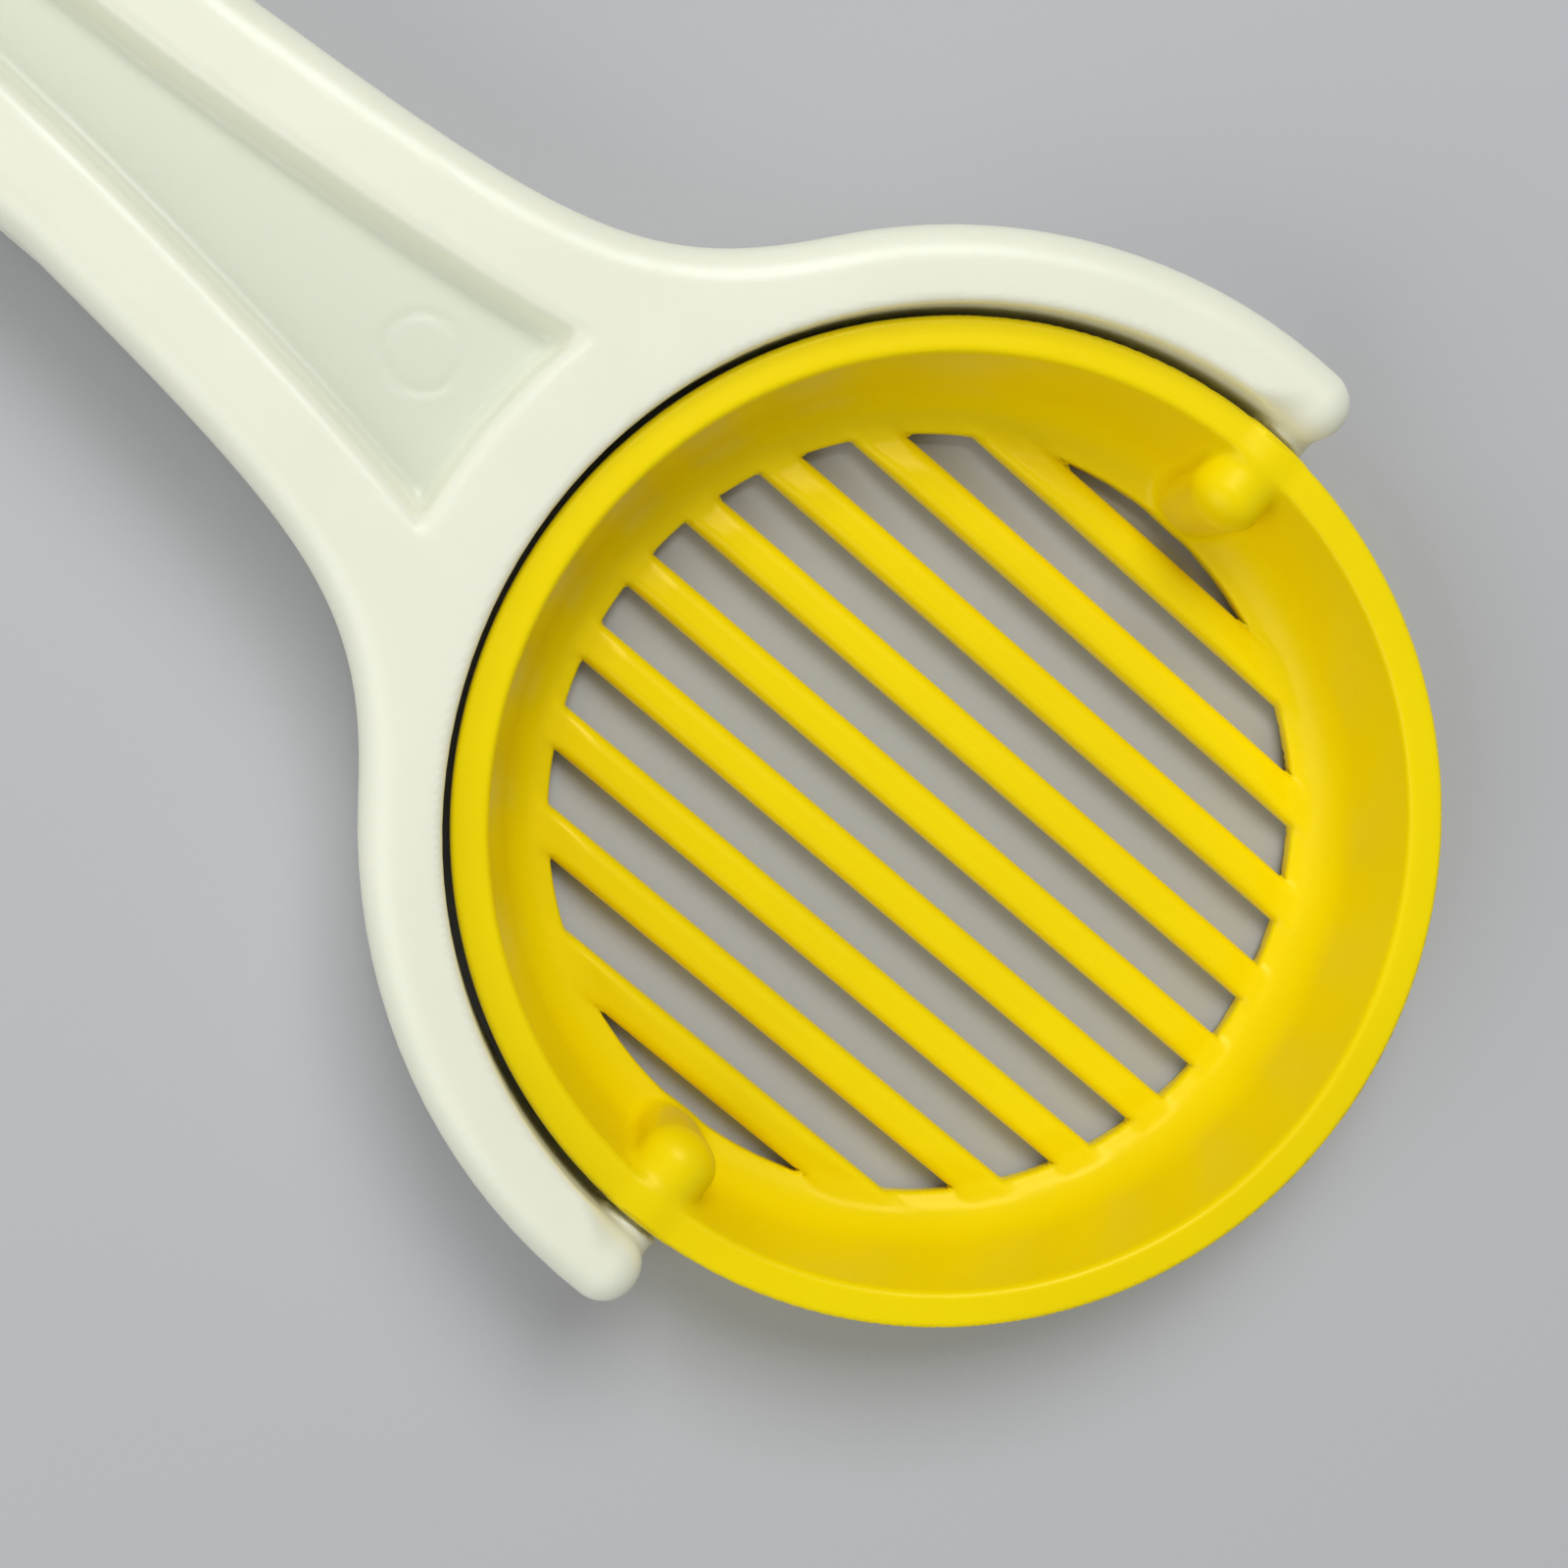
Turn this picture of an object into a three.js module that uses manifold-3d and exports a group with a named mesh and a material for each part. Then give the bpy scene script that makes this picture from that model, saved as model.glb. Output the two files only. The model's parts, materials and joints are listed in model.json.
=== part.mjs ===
// Egg slicer tongs, opened flat on their backs with both inner sides up.
// The cradle arm points along +X and the wire arm along -X. The hinge axis runs along Y, and
// turning the wire arm 180 degrees about it lays the wires into the slots of the cradle.
// Units are millimetres, +Z is up, and the tongs lie on Z = 0.
import * as THREE from "three";
import { mergeVertices } from "three/addons/utils/BufferGeometryUtils.js";
import Module from "manifold-3d";

const wasm = await Module();
wasm.setup();

// ---- Driving dimensions ----
const REACH = 150; // hinge axis to the centre of either head
const ARM_HEIGHT = 14.5; // thickness of both arms
const MEETING_GAP = 0.4; // between the two inner sides when the tongs are closed
const GAP = 0.3; // running clearance between neighbouring pieces

const HEAD_R = 40.15; // outside of the fork and of the hoop
const FORK_R = 34.95; // inside of the fork at its tips
const FORK_SHIFT = 0.4; // the inside is this much nearer the tips, so the gap opens towards them
const FORK_TIP_R = (HEAD_R - FORK_R) / 2;
const FLARE_ANGLE = 142.8; // where the handle's flare runs into the round head, degrees
const FLARE_BACK = 70; // the flare starts this far behind the head's centre
const FLARE_BENDS = [[44.8, 12.9], [39.7, 14.1]]; // its control points: distance behind, half width
const EDGE = 1.5; // rounding of the arms' outer edges

const SLOT_PITCH = 6; // slice thickness
const BAR_COUNT = 9;
const BAR_WIDTH = 2.83;
const SLOT_CIRCLE_R = 27.1;
const SLOT_Z = 1.9; // top of the cradle's floor at the slot circle
const CRADLE_R = 34.17;
const RIM_Z = 12.4;
const BAR_CROWN = 0.8; // how far the bars stand above the floor
const BAR_BOTTOM_Z = 0.7;
const BAR_OVERLAP = 1.1; // the bars run this far into the floor round the slots
const CRADLE_FOOT_Z = 0.5;

const PIVOT_Z = 9.6;
const SHOULDER_R = 2.25; // collars on the fork that keep the cradle in the middle
const SOCKET_R = 2.8; // outside of the two socket bosses
const SOCKET_INNER = 27.2; // how near the middle the bosses reach
const SOCKET_OUTER = 33;
const NOSE_FLATTENING = 0.6; // the bosses' domed ends against a half ball
const STUB_R = 1.65;
const STUB_INNER = 29.8;

const HINGE_Z = ARM_HEIGHT + MEETING_GAP / 2;
const BARREL_R = 4.6;
const PIN_R = 1.5;
const HANDLE_END_HALF = 10; // half width of a handle at the hinge
const HANDLE_MID_HALF = 10.6; // half width where the flare starts
const CENTRE_KNUCKLE_HALF = 4.8;
const KNUCKLE_GAP = 0.4;
const END_GAP = 0.2; // each handle stops this far from the hinge plane

const RECESS_FLOOR_TOP = 12; // the inner sides are recessed a little and the backs deeply
const RECESS_FLOOR_BOTTOM = 9.5;

const CROWN_IN = 23.6; // wire frame: the round wall that the egg passes through
const CROWN_OUT = 25.6;
const FLANGE_R = 34.5;
const FLANGE_Z = [7.6, 10.4];
const HOOP_LEDGE_R = 31;
const CROWN_EDGE_Z = 21.8; // top of the crown between its teeth
const TOOTH_TIP_Z = 28.2;
const TOOTH_WIDTH = 2.4;
const CROWN_CHAMFER = 1.2;
const SEAT_PLAY = 0.4; // between the flange and the hoop that it snaps into
const KEY_HALF = 2; // the tab that keeps the wires in line with the slots
const KEY_R = 36.2;
const CATCH_ANGLES = [45, 135, 225, 315];
const CATCH_SECTION = [[34.1, 11.2], [35.4, 10.8], [35.4, 12.2], [34.1, 11.8]]; // radius, height
const CATCH_HALF = 3;

const WIRE_Z = 27.65;
const WIRE_R = 0.25;
const BEAD_R = 0.5;
const BEAD_RING_R = 24.9; // circle that the wires' end beads lie on
const NOTCH_HALF = WIRE_R + 0.3; // room round a wire
const POCKET_HALF = BEAD_R + 0.3; // room round a bead

const PIN_END = 11.4; // the hinge pin's half length, without its head
const PIN_HEAD_R = 2.8;
const PIN_HEAD_RISE = 0.4; // how far the head's face stands beyond the pin's length
const CAP_R = 3;
const CAP_DEPTH = 2.2;
const PAST = 1; // how far a cutting solid runs past the face that it opens

// The tongs' box is centred on the origin, and the hoop is wider than the cradle.
const CENTRE_SHIFT = (HEAD_R - CRADLE_R) / 2;

const IVORY = { color: 0xe7e9d6, roughness: 0.38, metalness: 0 };
const YELLOW = { color: 0xf0d408, roughness: 0.35, metalness: 0 };
const STAINLESS = { color: 0xc9cbcd, roughness: 0.25, metalness: 1 };

// ---- Shape helpers ----
const rad = THREE.MathUtils.degToRad;

function solid(geometry) {
  const bare = geometry.clone();
  bare.deleteAttribute("normal");
  bare.deleteAttribute("uv");
  const merged = mergeVertices(bare, 1e-4);
  const vertProperties = new Float32Array(merged.attributes.position.array);
  const triVerts = new Uint32Array(merged.index.array);
  return new wasm.Manifold(new wasm.Mesh({ numProp: 3, vertProperties, triVerts }));
}

function named(name, body, look) {
  const { vertProperties, triVerts } = body.getMesh();
  const geometry = new THREE.BufferGeometry();
  geometry.setAttribute("position", new THREE.BufferAttribute(vertProperties, 3));
  geometry.setIndex(new THREE.BufferAttribute(triVerts, 1));
  geometry.computeVertexNormals();
  const mesh = new THREE.Mesh(geometry, new THREE.MeshStandardMaterial(look));
  mesh.name = name;
  return mesh;
}

// An outline in the XY plane, raised from z0 to z1. An edge rounds both ends inwards.
function slab(shape, z0, z1, edge = 0, curveSegments = 18) {
  const geometry = new THREE.ExtrudeGeometry(shape, {
    depth: z1 - z0 - 2 * edge,
    bevelEnabled: edge > 0,
    bevelThickness: edge,
    bevelSize: edge,
    bevelOffset: -edge,
    bevelSegments: 1,
    curveSegments,
  });
  return solid(geometry.translate(0, 0, z0 + edge));
}

function block(x0, x1, y0, y1, z0, z1) {
  const geometry = new THREE.BoxGeometry(x1 - x0, y1 - y0, z1 - z0);
  return solid(geometry.translate((x0 + x1) / 2, (y0 + y1) / 2, (z0 + z1) / 2));
}

function post(x, y, radius, z0, z1, sides = 60) {
  const geometry = new THREE.CylinderGeometry(radius, radius, z1 - z0, sides);
  return solid(geometry.rotateX(Math.PI / 2).translate(x, y, (z0 + z1) / 2));
}

// A round bar along Y.
function axle(x, z, radius, y0, y1, sides = 24) {
  const geometry = new THREE.CylinderGeometry(radius, radius, y1 - y0, sides);
  return solid(geometry.translate(x, (y0 + y1) / 2, z));
}

function ball(x, y, z, radius, sides = 16) {
  return solid(new THREE.SphereGeometry(radius, sides, sides / 2).translate(x, y, z));
}

// A closed outline of [radius, z] points turned about the vertical line through x.
function turned(x, outline, sides = 60) {
  const points = [...outline, outline[0]].map(([r, z]) => new THREE.Vector2(r, z));
  const geometry = new THREE.LatheGeometry(points, sides);
  return solid(geometry.rotateX(Math.PI / 2).translate(x, 0, 0));
}

const both = [-1, 1];

// ---- The arms: each is drawn along +X from the hinge axis at X = 0 ----
function traceHandleSide(path, side) {
  const flareY = HEAD_R * Math.sin(rad(FLARE_ANGLE));
  const flareX = REACH + HEAD_R * Math.cos(rad(FLARE_ANGLE));
  const start = [REACH - FLARE_BACK, HANDLE_MID_HALF];
  const [nearHandle, nearHead] = FLARE_BENDS.map(([back, half]) => [REACH - back, half]);
  if (side < 0) {
    path.moveTo(END_GAP, -HANDLE_END_HALF);
    path.lineTo(start[0], -start[1]);
    path.bezierCurveTo(nearHandle[0], -nearHandle[1], nearHead[0], -nearHead[1], flareX, -flareY);
  } else {
    path.bezierCurveTo(nearHead[0], nearHead[1], nearHandle[0], nearHandle[1], start[0], start[1]);
    path.lineTo(END_GAP, HANDLE_END_HALF);
    path.closePath();
  }
}

function forkOutline() {
  const shape = new THREE.Shape();
  const tipY = FORK_R + FORK_TIP_R;
  const insideR = Math.hypot(FORK_R, FORK_SHIFT);
  const lean = Math.asin(FORK_SHIFT / insideR);
  traceHandleSide(shape, -1);
  shape.absarc(REACH, 0, HEAD_R, rad(360 - FLARE_ANGLE), rad(270), false);
  shape.absarc(REACH, -tipY, FORK_TIP_R, rad(-90), rad(90), false);
  shape.absarc(REACH + FORK_SHIFT, 0, insideR, rad(270) - lean, rad(90) + lean, true);
  shape.absarc(REACH, tipY, FORK_TIP_R, rad(-90), rad(90), false);
  shape.absarc(REACH, 0, HEAD_R, rad(90), rad(FLARE_ANGLE), false);
  traceHandleSide(shape, 1);
  return shape;
}

function hoopOutline() {
  const shape = new THREE.Shape();
  traceHandleSide(shape, -1);
  for (const quarter of [270, 360, 450]) {
    const from = quarter === 270 ? 360 - FLARE_ANGLE : quarter - 90;
    shape.absarc(REACH, 0, HEAD_R, rad(from), rad(quarter), false);
  }
  shape.absarc(REACH, 0, HEAD_R, rad(90), rad(FLARE_ANGLE), false);
  traceHandleSide(shape, 1);
  return shape;
}

// The long recess: its front follows the head and its sides close in towards the hinge.
function recessOutline() {
  const frontR = 40.9;
  const frontAngle = 11.35;
  const frontX = REACH - frontR * Math.cos(rad(frontAngle));
  const frontY = frontR * Math.sin(rad(frontAngle));
  const waist = [REACH - 52, 5.6];
  const middle = [REACH - 72, 4];
  const end = [38, 1.6];
  const shape = new THREE.Shape();
  shape.moveTo(frontX, -frontY);
  shape.absarc(REACH, 0, frontR, rad(180 + frontAngle), rad(180 - frontAngle), true);
  shape.quadraticCurveTo(waist[0], waist[1], middle[0], middle[1]);
  shape.lineTo(end[0], end[1]);
  shape.absarc(end[0], 0, end[1], rad(90), rad(270), false);
  shape.lineTo(middle[0], -middle[1]);
  shape.quadraticCurveTo(waist[0], -waist[1], frontX, -frontY);
  return shape;
}

// Both faces of an arm are recessed, which leaves a thin floor between deep rails.
function recessed(arm) {
  const outline = recessOutline();
  const upper = slab(outline, RECESS_FLOOR_TOP, ARM_HEIGHT + PAST, 0, 10);
  const lower = slab(outline, -PAST, RECESS_FLOOR_BOTTOM, 0, 10);
  return arm.subtract(upper).subtract(lower);
}

// Hinge knuckles from y0 to y1, bored for the pin. The other arm's knuckles get room to turn.
function withKnuckles(arm, own, other) {
  let body = arm;
  for (const [y0, y1] of other) {
    const room = axle(0, HINGE_Z, BARREL_R + KNUCKLE_GAP, y0 - KNUCKLE_GAP, y1 + KNUCKLE_GAP, 32);
    body = body.subtract(room);
  }
  for (const [y0, y1] of own) {
    body = body.add(axle(0, HINGE_Z, BARREL_R, y0, y1, 32));
  }
  const bore = axle(0, HINGE_Z, PIN_R + GAP, -2 * HANDLE_END_HALF, 2 * HANDLE_END_HALF);
  return body.subtract(bore);
}

const centreKnuckle = [[-CENTRE_KNUCKLE_HALF, CENTRE_KNUCKLE_HALF]];
const outerKnuckles = both.map((side) => {
  const ends = [side * (CENTRE_KNUCKLE_HALF + KNUCKLE_GAP), side * HANDLE_END_HALF];
  return ends.sort((a, b) => a - b);
});

function cradleHandle() {
  let body = recessed(slab(forkOutline(), 0, ARM_HEIGHT, EDGE));
  body = withKnuckles(body, outerKnuckles, centreKnuckle);
  for (const side of both) {
    const root = side * (FORK_R + 1);
    const shoulder = [root, side * (CRADLE_R + GAP)].sort((a, b) => a - b);
    const stub = [root, side * STUB_INNER].sort((a, b) => a - b);
    body = body.add(axle(REACH, PIVOT_Z, SHOULDER_R, ...shoulder));
    body = body.add(axle(REACH, PIVOT_Z, STUB_R, ...stub));
  }
  return body;
}

function snapCatch(angle) {
  const outer = FLANGE_R + CATCH_HALF;
  const spot = block(HOOP_LEDGE_R, outer, -CATCH_HALF, CATCH_HALF, FLANGE_Z[1], ARM_HEIGHT);
  const turnedSpot = spot.rotate([0, 0, angle]).translate([REACH, 0, 0]);
  return turned(REACH, CATCH_SECTION).intersect(turnedSpot);
}

function wireHandle() {
  const hoopFloor = FLANGE_Z[0] - GAP;
  let body = recessed(slab(hoopOutline(), 0, ARM_HEIGHT, EDGE));
  const top = ARM_HEIGHT + PAST;
  body = body.subtract(post(REACH, 0, HOOP_LEDGE_R, -PAST, top));
  body = body.subtract(post(REACH, 0, FLANGE_R + SEAT_PLAY, hoopFloor, top));
  const keyX = REACH - KEY_R - SEAT_PLAY;
  const keyHalf = KEY_HALF + SEAT_PLAY;
  body = body.subtract(block(keyX, REACH - HOOP_LEDGE_R, -keyHalf, keyHalf, hoopFloor, top));
  for (const angle of CATCH_ANGLES) body = body.add(snapCatch(angle));
  return withKnuckles(body, centreKnuckle, outerKnuckles);
}

// ---- The cradle ----
function cradleBar(y) {
  const half = BAR_WIDTH / 2;
  const length = 2 * Math.sqrt((SLOT_CIRCLE_R + BAR_OVERLAP) ** 2 - y ** 2);
  const section = new THREE.Shape();
  section.moveTo(-half, BAR_BOTTOM_Z);
  section.lineTo(half, BAR_BOTTOM_Z);
  section.lineTo(half, SLOT_Z);
  section.quadraticCurveTo(half, SLOT_Z + BAR_CROWN, 0, SLOT_Z + BAR_CROWN);
  section.quadraticCurveTo(-half, SLOT_Z + BAR_CROWN, -half, SLOT_Z);
  const geometry = new THREE.ExtrudeGeometry(section, {
    depth: length,
    bevelEnabled: false,
    curveSegments: 4,
  });
  geometry.rotateX(Math.PI / 2).rotateZ(Math.PI / 2);
  return solid(geometry.translate(REACH - length / 2, y, 0));
}

function socketBoss(side) {
  const inner = SOCKET_INNER + SOCKET_R * NOSE_FLATTENING;
  const ends = [side * inner, side * SOCKET_OUTER].sort((a, b) => a - b);
  const column = block(REACH - SOCKET_R, REACH + SOCKET_R, ...ends, CRADLE_FOOT_Z, PIVOT_Z);
  const nose = new THREE.SphereGeometry(SOCKET_R, 20, 10).scale(1, NOSE_FLATTENING, 1);
  const dome = solid(nose.translate(REACH, side * inner, PIVOT_Z));
  const foot = post(0, 0, SOCKET_R, CRADLE_FOOT_Z, PIVOT_Z, 20).scale([1, NOSE_FLATTENING, 1]);
  const front = foot.translate([REACH, side * inner, 0]);
  return axle(REACH, PIVOT_Z, SOCKET_R, ...ends).add(column).add(dome).add(front);
}

function eggCradle() {
  // Radius and height, from the slots out under the foot, up the outside, and down the inside.
  const dish = [
    [SLOT_CIRCLE_R, CRADLE_FOOT_Z],
    [30.4, CRADLE_FOOT_Z],
    [32, 2.2],
    [33.2, 6.5],
    [CRADLE_R, RIM_Z - 2],
    [CRADLE_R, RIM_Z - 0.5],
    [CRADLE_R - 0.5, RIM_Z],
    [31.9, RIM_Z],
    [31.45, RIM_Z - 0.4],
    [30, SLOT_Z + 2.6],
    [29.2, SLOT_Z + 1],
    [28.1, SLOT_Z + 0.3],
    [SLOT_CIRCLE_R, SLOT_Z],
  ];
  let body = turned(REACH, dish);
  const outermost = (BAR_COUNT - 1) / 2;
  for (let i = -outermost; i <= outermost; i++) body = body.add(cradleBar(i * SLOT_PITCH));
  for (const side of both) {
    body = body.add(socketBoss(side));
    const socket = [side * (STUB_INNER - GAP), side * HEAD_R].sort((a, b) => a - b);
    body = body.subtract(axle(REACH, PIVOT_Z, STUB_R + GAP, ...socket));
  }
  return body;
}

// ---- The wire frame and its wires ----
const wireRows = [];
for (let i = 1 - (BAR_COUNT - 1) / 2; i <= (BAR_COUNT - 1) / 2; i++) {
  wireRows.push((i - 0.5) * SLOT_PITCH);
}
const beadX = (y) => Math.sqrt(BEAD_RING_R ** 2 - y ** 2);

// Room for a wire or its bead between two distances from the head's centre, open at the top.
function wireRoom(y, [near, far], half) {
  const top = TOOTH_TIP_Z + PAST;
  return block(REACH + near, REACH + far, y - half, y + half, WIRE_Z - half, top);
}

function wireFrame() {
  const crown = [
    [CROWN_IN, FLANGE_Z[0]],
    [FLANGE_R, FLANGE_Z[0]],
    [FLANGE_R, FLANGE_Z[1]],
    [CROWN_OUT + CROWN_CHAMFER, FLANGE_Z[1]],
    [CROWN_OUT, FLANGE_Z[1] + CROWN_CHAMFER],
    [CROWN_OUT, TOOTH_TIP_Z],
    [CROWN_IN, TOOTH_TIP_Z],
  ];
  let teeth = null;
  for (const y of wireRows) {
    const half = TOOTH_WIDTH / 2;
    const strip = block(-HEAD_R, HEAD_R, y - half, y + half, FLANGE_Z[0], TOOTH_TIP_Z + PAST);
    teeth = teeth ? teeth.add(strip) : strip;
  }
  const base = block(-HEAD_R, HEAD_R, -HEAD_R, HEAD_R, FLANGE_Z[0] - PAST, CROWN_EDGE_Z);
  const keep = teeth.add(base).translate([REACH, 0, 0]);
  let body = turned(REACH, crown).intersect(keep);
  body = body.add(block(REACH - KEY_R, REACH - HOOP_LEDGE_R, -KEY_HALF, KEY_HALF, ...FLANGE_Z));
  for (const y of wireRows) {
    body = body.subtract(wireRoom(y, [-CROWN_OUT, CROWN_OUT], NOTCH_HALF));
    for (const side of both) {
      const ends = [side * (beadX(y) - POCKET_HALF), side * HOOP_LEDGE_R].sort((a, b) => a - b);
      body = body.subtract(wireRoom(y, ends, POCKET_HALF));
    }
  }
  return body;
}

function cuttingWire(y) {
  const half = beadX(y);
  const strand = new THREE.CylinderGeometry(WIRE_R, WIRE_R, 2 * half, 8).rotateZ(Math.PI / 2);
  let body = solid(strand.translate(REACH, y, WIRE_Z));
  for (const side of both) body = body.add(ball(REACH + side * half, y, WIRE_Z, BEAD_R, 10));
  return body;
}

// ---- Hinge hardware ----
function hingePin() {
  const shank = axle(0, HINGE_Z, PIN_R, -PIN_END, PIN_END);
  const rim = axle(0, HINGE_Z, PIN_HEAD_R, -PIN_END - PIN_HEAD_RISE, -HANDLE_END_HALF - GAP);
  return shank.add(rim);
}

function pinCap() {
  const inner = HANDLE_END_HALF + GAP;
  const cap = axle(0, HINGE_Z, CAP_R, inner, inner + CAP_DEPTH);
  return cap.subtract(axle(0, HINGE_Z, PIN_R + GAP, inner - PAST, PIN_END + GAP));
}

// ---- Assembly ----
const cradleArm = new THREE.Group();
cradleArm.add(named("cradle_handle", cradleHandle(), IVORY));
cradleArm.add(named("egg_cradle", eggCradle(), YELLOW));
cradleArm.add(named("hinge_pin", hingePin(), STAINLESS));
cradleArm.add(named("pin_cap", pinCap(), STAINLESS));

const wireArm = new THREE.Group();
wireArm.rotation.z = Math.PI;
wireArm.add(named("wire_handle", wireHandle(), IVORY));
wireArm.add(named("wire_frame", wireFrame(), YELLOW));
wireRows.forEach((y, i) => {
  wireArm.add(named("cutting_wire_" + (i + 1), cuttingWire(y), STAINLESS));
});

const eggSlicer = new THREE.Group();
eggSlicer.add(cradleArm, wireArm);
eggSlicer.position.x = CENTRE_SHIFT;

export default eggSlicer;
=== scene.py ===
"""Looks of the egg slicer tongs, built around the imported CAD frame.

Each moulded part is described by a signed distance field: a function that says how far a point
is from the part's surface, negative inside. A field makes soft moulding fillets easy, because a
smooth minimum or maximum of two fields blends them. One mesher turns every field into a mesh.
The steel parts are turned profiles. Fields and profiles are in millimetres, in the frame of one
arm (X runs out from the hinge axis, Z is up), and a Placement takes them into the row frame.
"""

import json
import logging
import math
from collections.abc import Callable, Iterable, Sequence
from dataclasses import dataclass
from enum import Enum

import bpy
import numpy as np
from mathutils import Matrix, Vector


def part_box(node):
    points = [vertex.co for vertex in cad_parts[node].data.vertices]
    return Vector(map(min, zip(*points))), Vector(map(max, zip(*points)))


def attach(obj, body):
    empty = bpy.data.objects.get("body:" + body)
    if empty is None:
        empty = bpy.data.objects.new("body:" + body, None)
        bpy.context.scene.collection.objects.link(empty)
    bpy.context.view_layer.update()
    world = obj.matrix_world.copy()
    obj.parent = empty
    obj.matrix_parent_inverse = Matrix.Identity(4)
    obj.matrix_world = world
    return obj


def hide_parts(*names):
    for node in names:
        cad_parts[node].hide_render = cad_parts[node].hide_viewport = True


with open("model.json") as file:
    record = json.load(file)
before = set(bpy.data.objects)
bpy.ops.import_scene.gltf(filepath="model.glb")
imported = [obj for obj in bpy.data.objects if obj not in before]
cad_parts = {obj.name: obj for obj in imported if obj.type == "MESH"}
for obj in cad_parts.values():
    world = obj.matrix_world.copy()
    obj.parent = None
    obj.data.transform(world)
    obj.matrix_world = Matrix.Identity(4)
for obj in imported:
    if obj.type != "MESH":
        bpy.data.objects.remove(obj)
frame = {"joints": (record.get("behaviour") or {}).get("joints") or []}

LOG = logging.getLogger("egg_slicer")
MM = 0.001
Array = np.ndarray
Field = Callable[[Array, Array, Array], Array]  # distances in millimetres from x, y and z
Point = tuple[float, float]
Points = list[Point]
Colour = tuple[float, float, float, float]
Tree = bpy.types.NodeTree
Socket = bpy.types.NodeSocket


class Slot(Enum):
    """The record's material slots that the pieces take their finish from."""

    IVORY = "ivory_plastic"
    YELLOW = "yellow_plastic"
    WIRE = "wire_steel"
    HINGE = "hinge_steel"


class Grain(Enum):
    """The way a metal was drawn or turned, as its marks for each metre along X, Y and Z.

    The real lines are about 0.02 mm apart; they are drawn 0.11 mm apart so that they show.
    """

    DRAWN_ALONG_X = (30.0, 9000.0, 9000.0)
    TURNED_ABOUT_Y = (600.0, 9000.0, 600.0)


# ---- The frame ----
@dataclass(frozen=True)
class Placement:
    """Where one arm's own millimetres lie in the row frame."""

    hinge_x: float
    turned: bool

    @property
    def facing(self) -> Array:
        """Returns the factors that turn the arm round its upright axis, or leave it."""
        turn = -1.0 if self.turned else 1.0
        return np.array([turn, turn, 1.0])

    def to_row(self, points: Array) -> Array:
        """Moves points into the row frame.

        Args:
            points: N x 3 points in the arm's own millimetres.

        Returns:
            N x 3 points in metres.
        """
        return points * MM * self.facing + np.array([self.hinge_x, 0.0, 0.0])


def joint_place(name: str) -> Vector:
    """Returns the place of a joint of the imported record, in metres."""
    return Vector(next(joint["pos_m"] for joint in frame["joints"] if joint["name"] == name))


HINGE = joint_place("tongs_hinge")
PIVOT = joint_place("cradle_swivel")
CRADLE_ARM = Placement(HINGE.x, turned=False)
WIRE_ARM = Placement(HINGE.x, turned=True)

HINGE_Z = HINGE.z / MM
PIVOT_Z = PIVOT.z / MM
REACH = (PIVOT.x - HINGE.x) / MM  # hinge axis to the middle of either head
HALF_GAP = 0.2  # half the gap between the two arms, along the handles and across them
ARM_HEIGHT = HINGE_Z - HALF_GAP
HEAD_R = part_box("wire_handle")[1].y / MM  # outside of the fork and of the hoop
CRADLE_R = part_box("egg_cradle")[1].y / MM
RIM_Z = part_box("egg_cradle")[1].z / MM
FOOT_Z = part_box("egg_cradle")[0].z / MM
PRONG = 5.2  # width of a prong
FORK_R = HEAD_R - PRONG  # inside of the fork
SLOT_PITCH = 6.0  # spacing of the slots, and so of the wires
WIRES = 8


# ---- Signed distance fields ----
def smooth_max(a: Array, b: Array, soft: float | Array) -> Array:
    """Joins two fields as a maximum with a rounded crease.

    Args:
        a: one field, or a number.
        b: the other field.
        soft: width of the rounding, in millimetres.

    Returns:
        The joined field.
    """
    share = np.clip(0.5 + 0.5 * (a - b) / soft, 0.0, 1.0)
    return a * share + b * (1.0 - share) + soft * share * (1.0 - share)


def smooth_min(a: Array, b: Array, soft: float | Array) -> Array:
    """Joins two fields as a minimum with a fillet.

    Args:
        a: one field.
        b: the other field.
        soft: width of the fillet, in millimetres.

    Returns:
        The joined field.
    """
    return -smooth_max(-a, -b, soft)


def smooth_step(value: Array, start: float, end: float) -> Array:
    """Rises gently from 0 at `start` to 1 at `end`."""
    share = np.clip((value - start) / (end - start), 0.0, 1.0)
    return share * share * (3.0 - 2.0 * share)


def slab(side: Array, height: Array, low: float, high: float | Array, edge: float | Array) -> Array:
    """Raises an outline into a solid with rounded edges.

    Args:
        side: distance to the outline, negative inside.
        height: coordinate that runs from one end face to the other.
        low: where the solid starts.
        high: where the solid ends.
        edge: radius of the rounding between the side and the end faces.

    Returns:
        The solid's distance field.
    """
    a = side + edge
    b = np.abs(height - (low + high) / 2) - (high - low) / 2 + edge
    return np.minimum(np.maximum(a, b), 0) + np.hypot(np.maximum(a, 0), np.maximum(b, 0)) - edge


def nearest_row(y: Array, pitch: float, offset: float) -> Array:
    """Returns the distance to the nearest of the rows `pitch` apart that include `offset`."""
    return np.abs((y - offset + pitch / 2) % pitch - pitch / 2)


def arc(centre: Point, radius: float, start: float, end: float, step: float = 3.0) -> Points:
    """Draws an arc.

    Args:
        centre: the arc's centre.
        radius: its radius.
        start: the angle of its first point, in degrees.
        end: the angle of its last point.
        step: about how far apart the points are, in degrees.

    Returns:
        The points.
    """
    count = max(4, round(abs(end - start) / step))
    angles = np.radians(np.linspace(start, end, count + 1))
    return [(centre[0] + radius * math.cos(t), centre[1] + radius * math.sin(t)) for t in angles]


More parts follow.
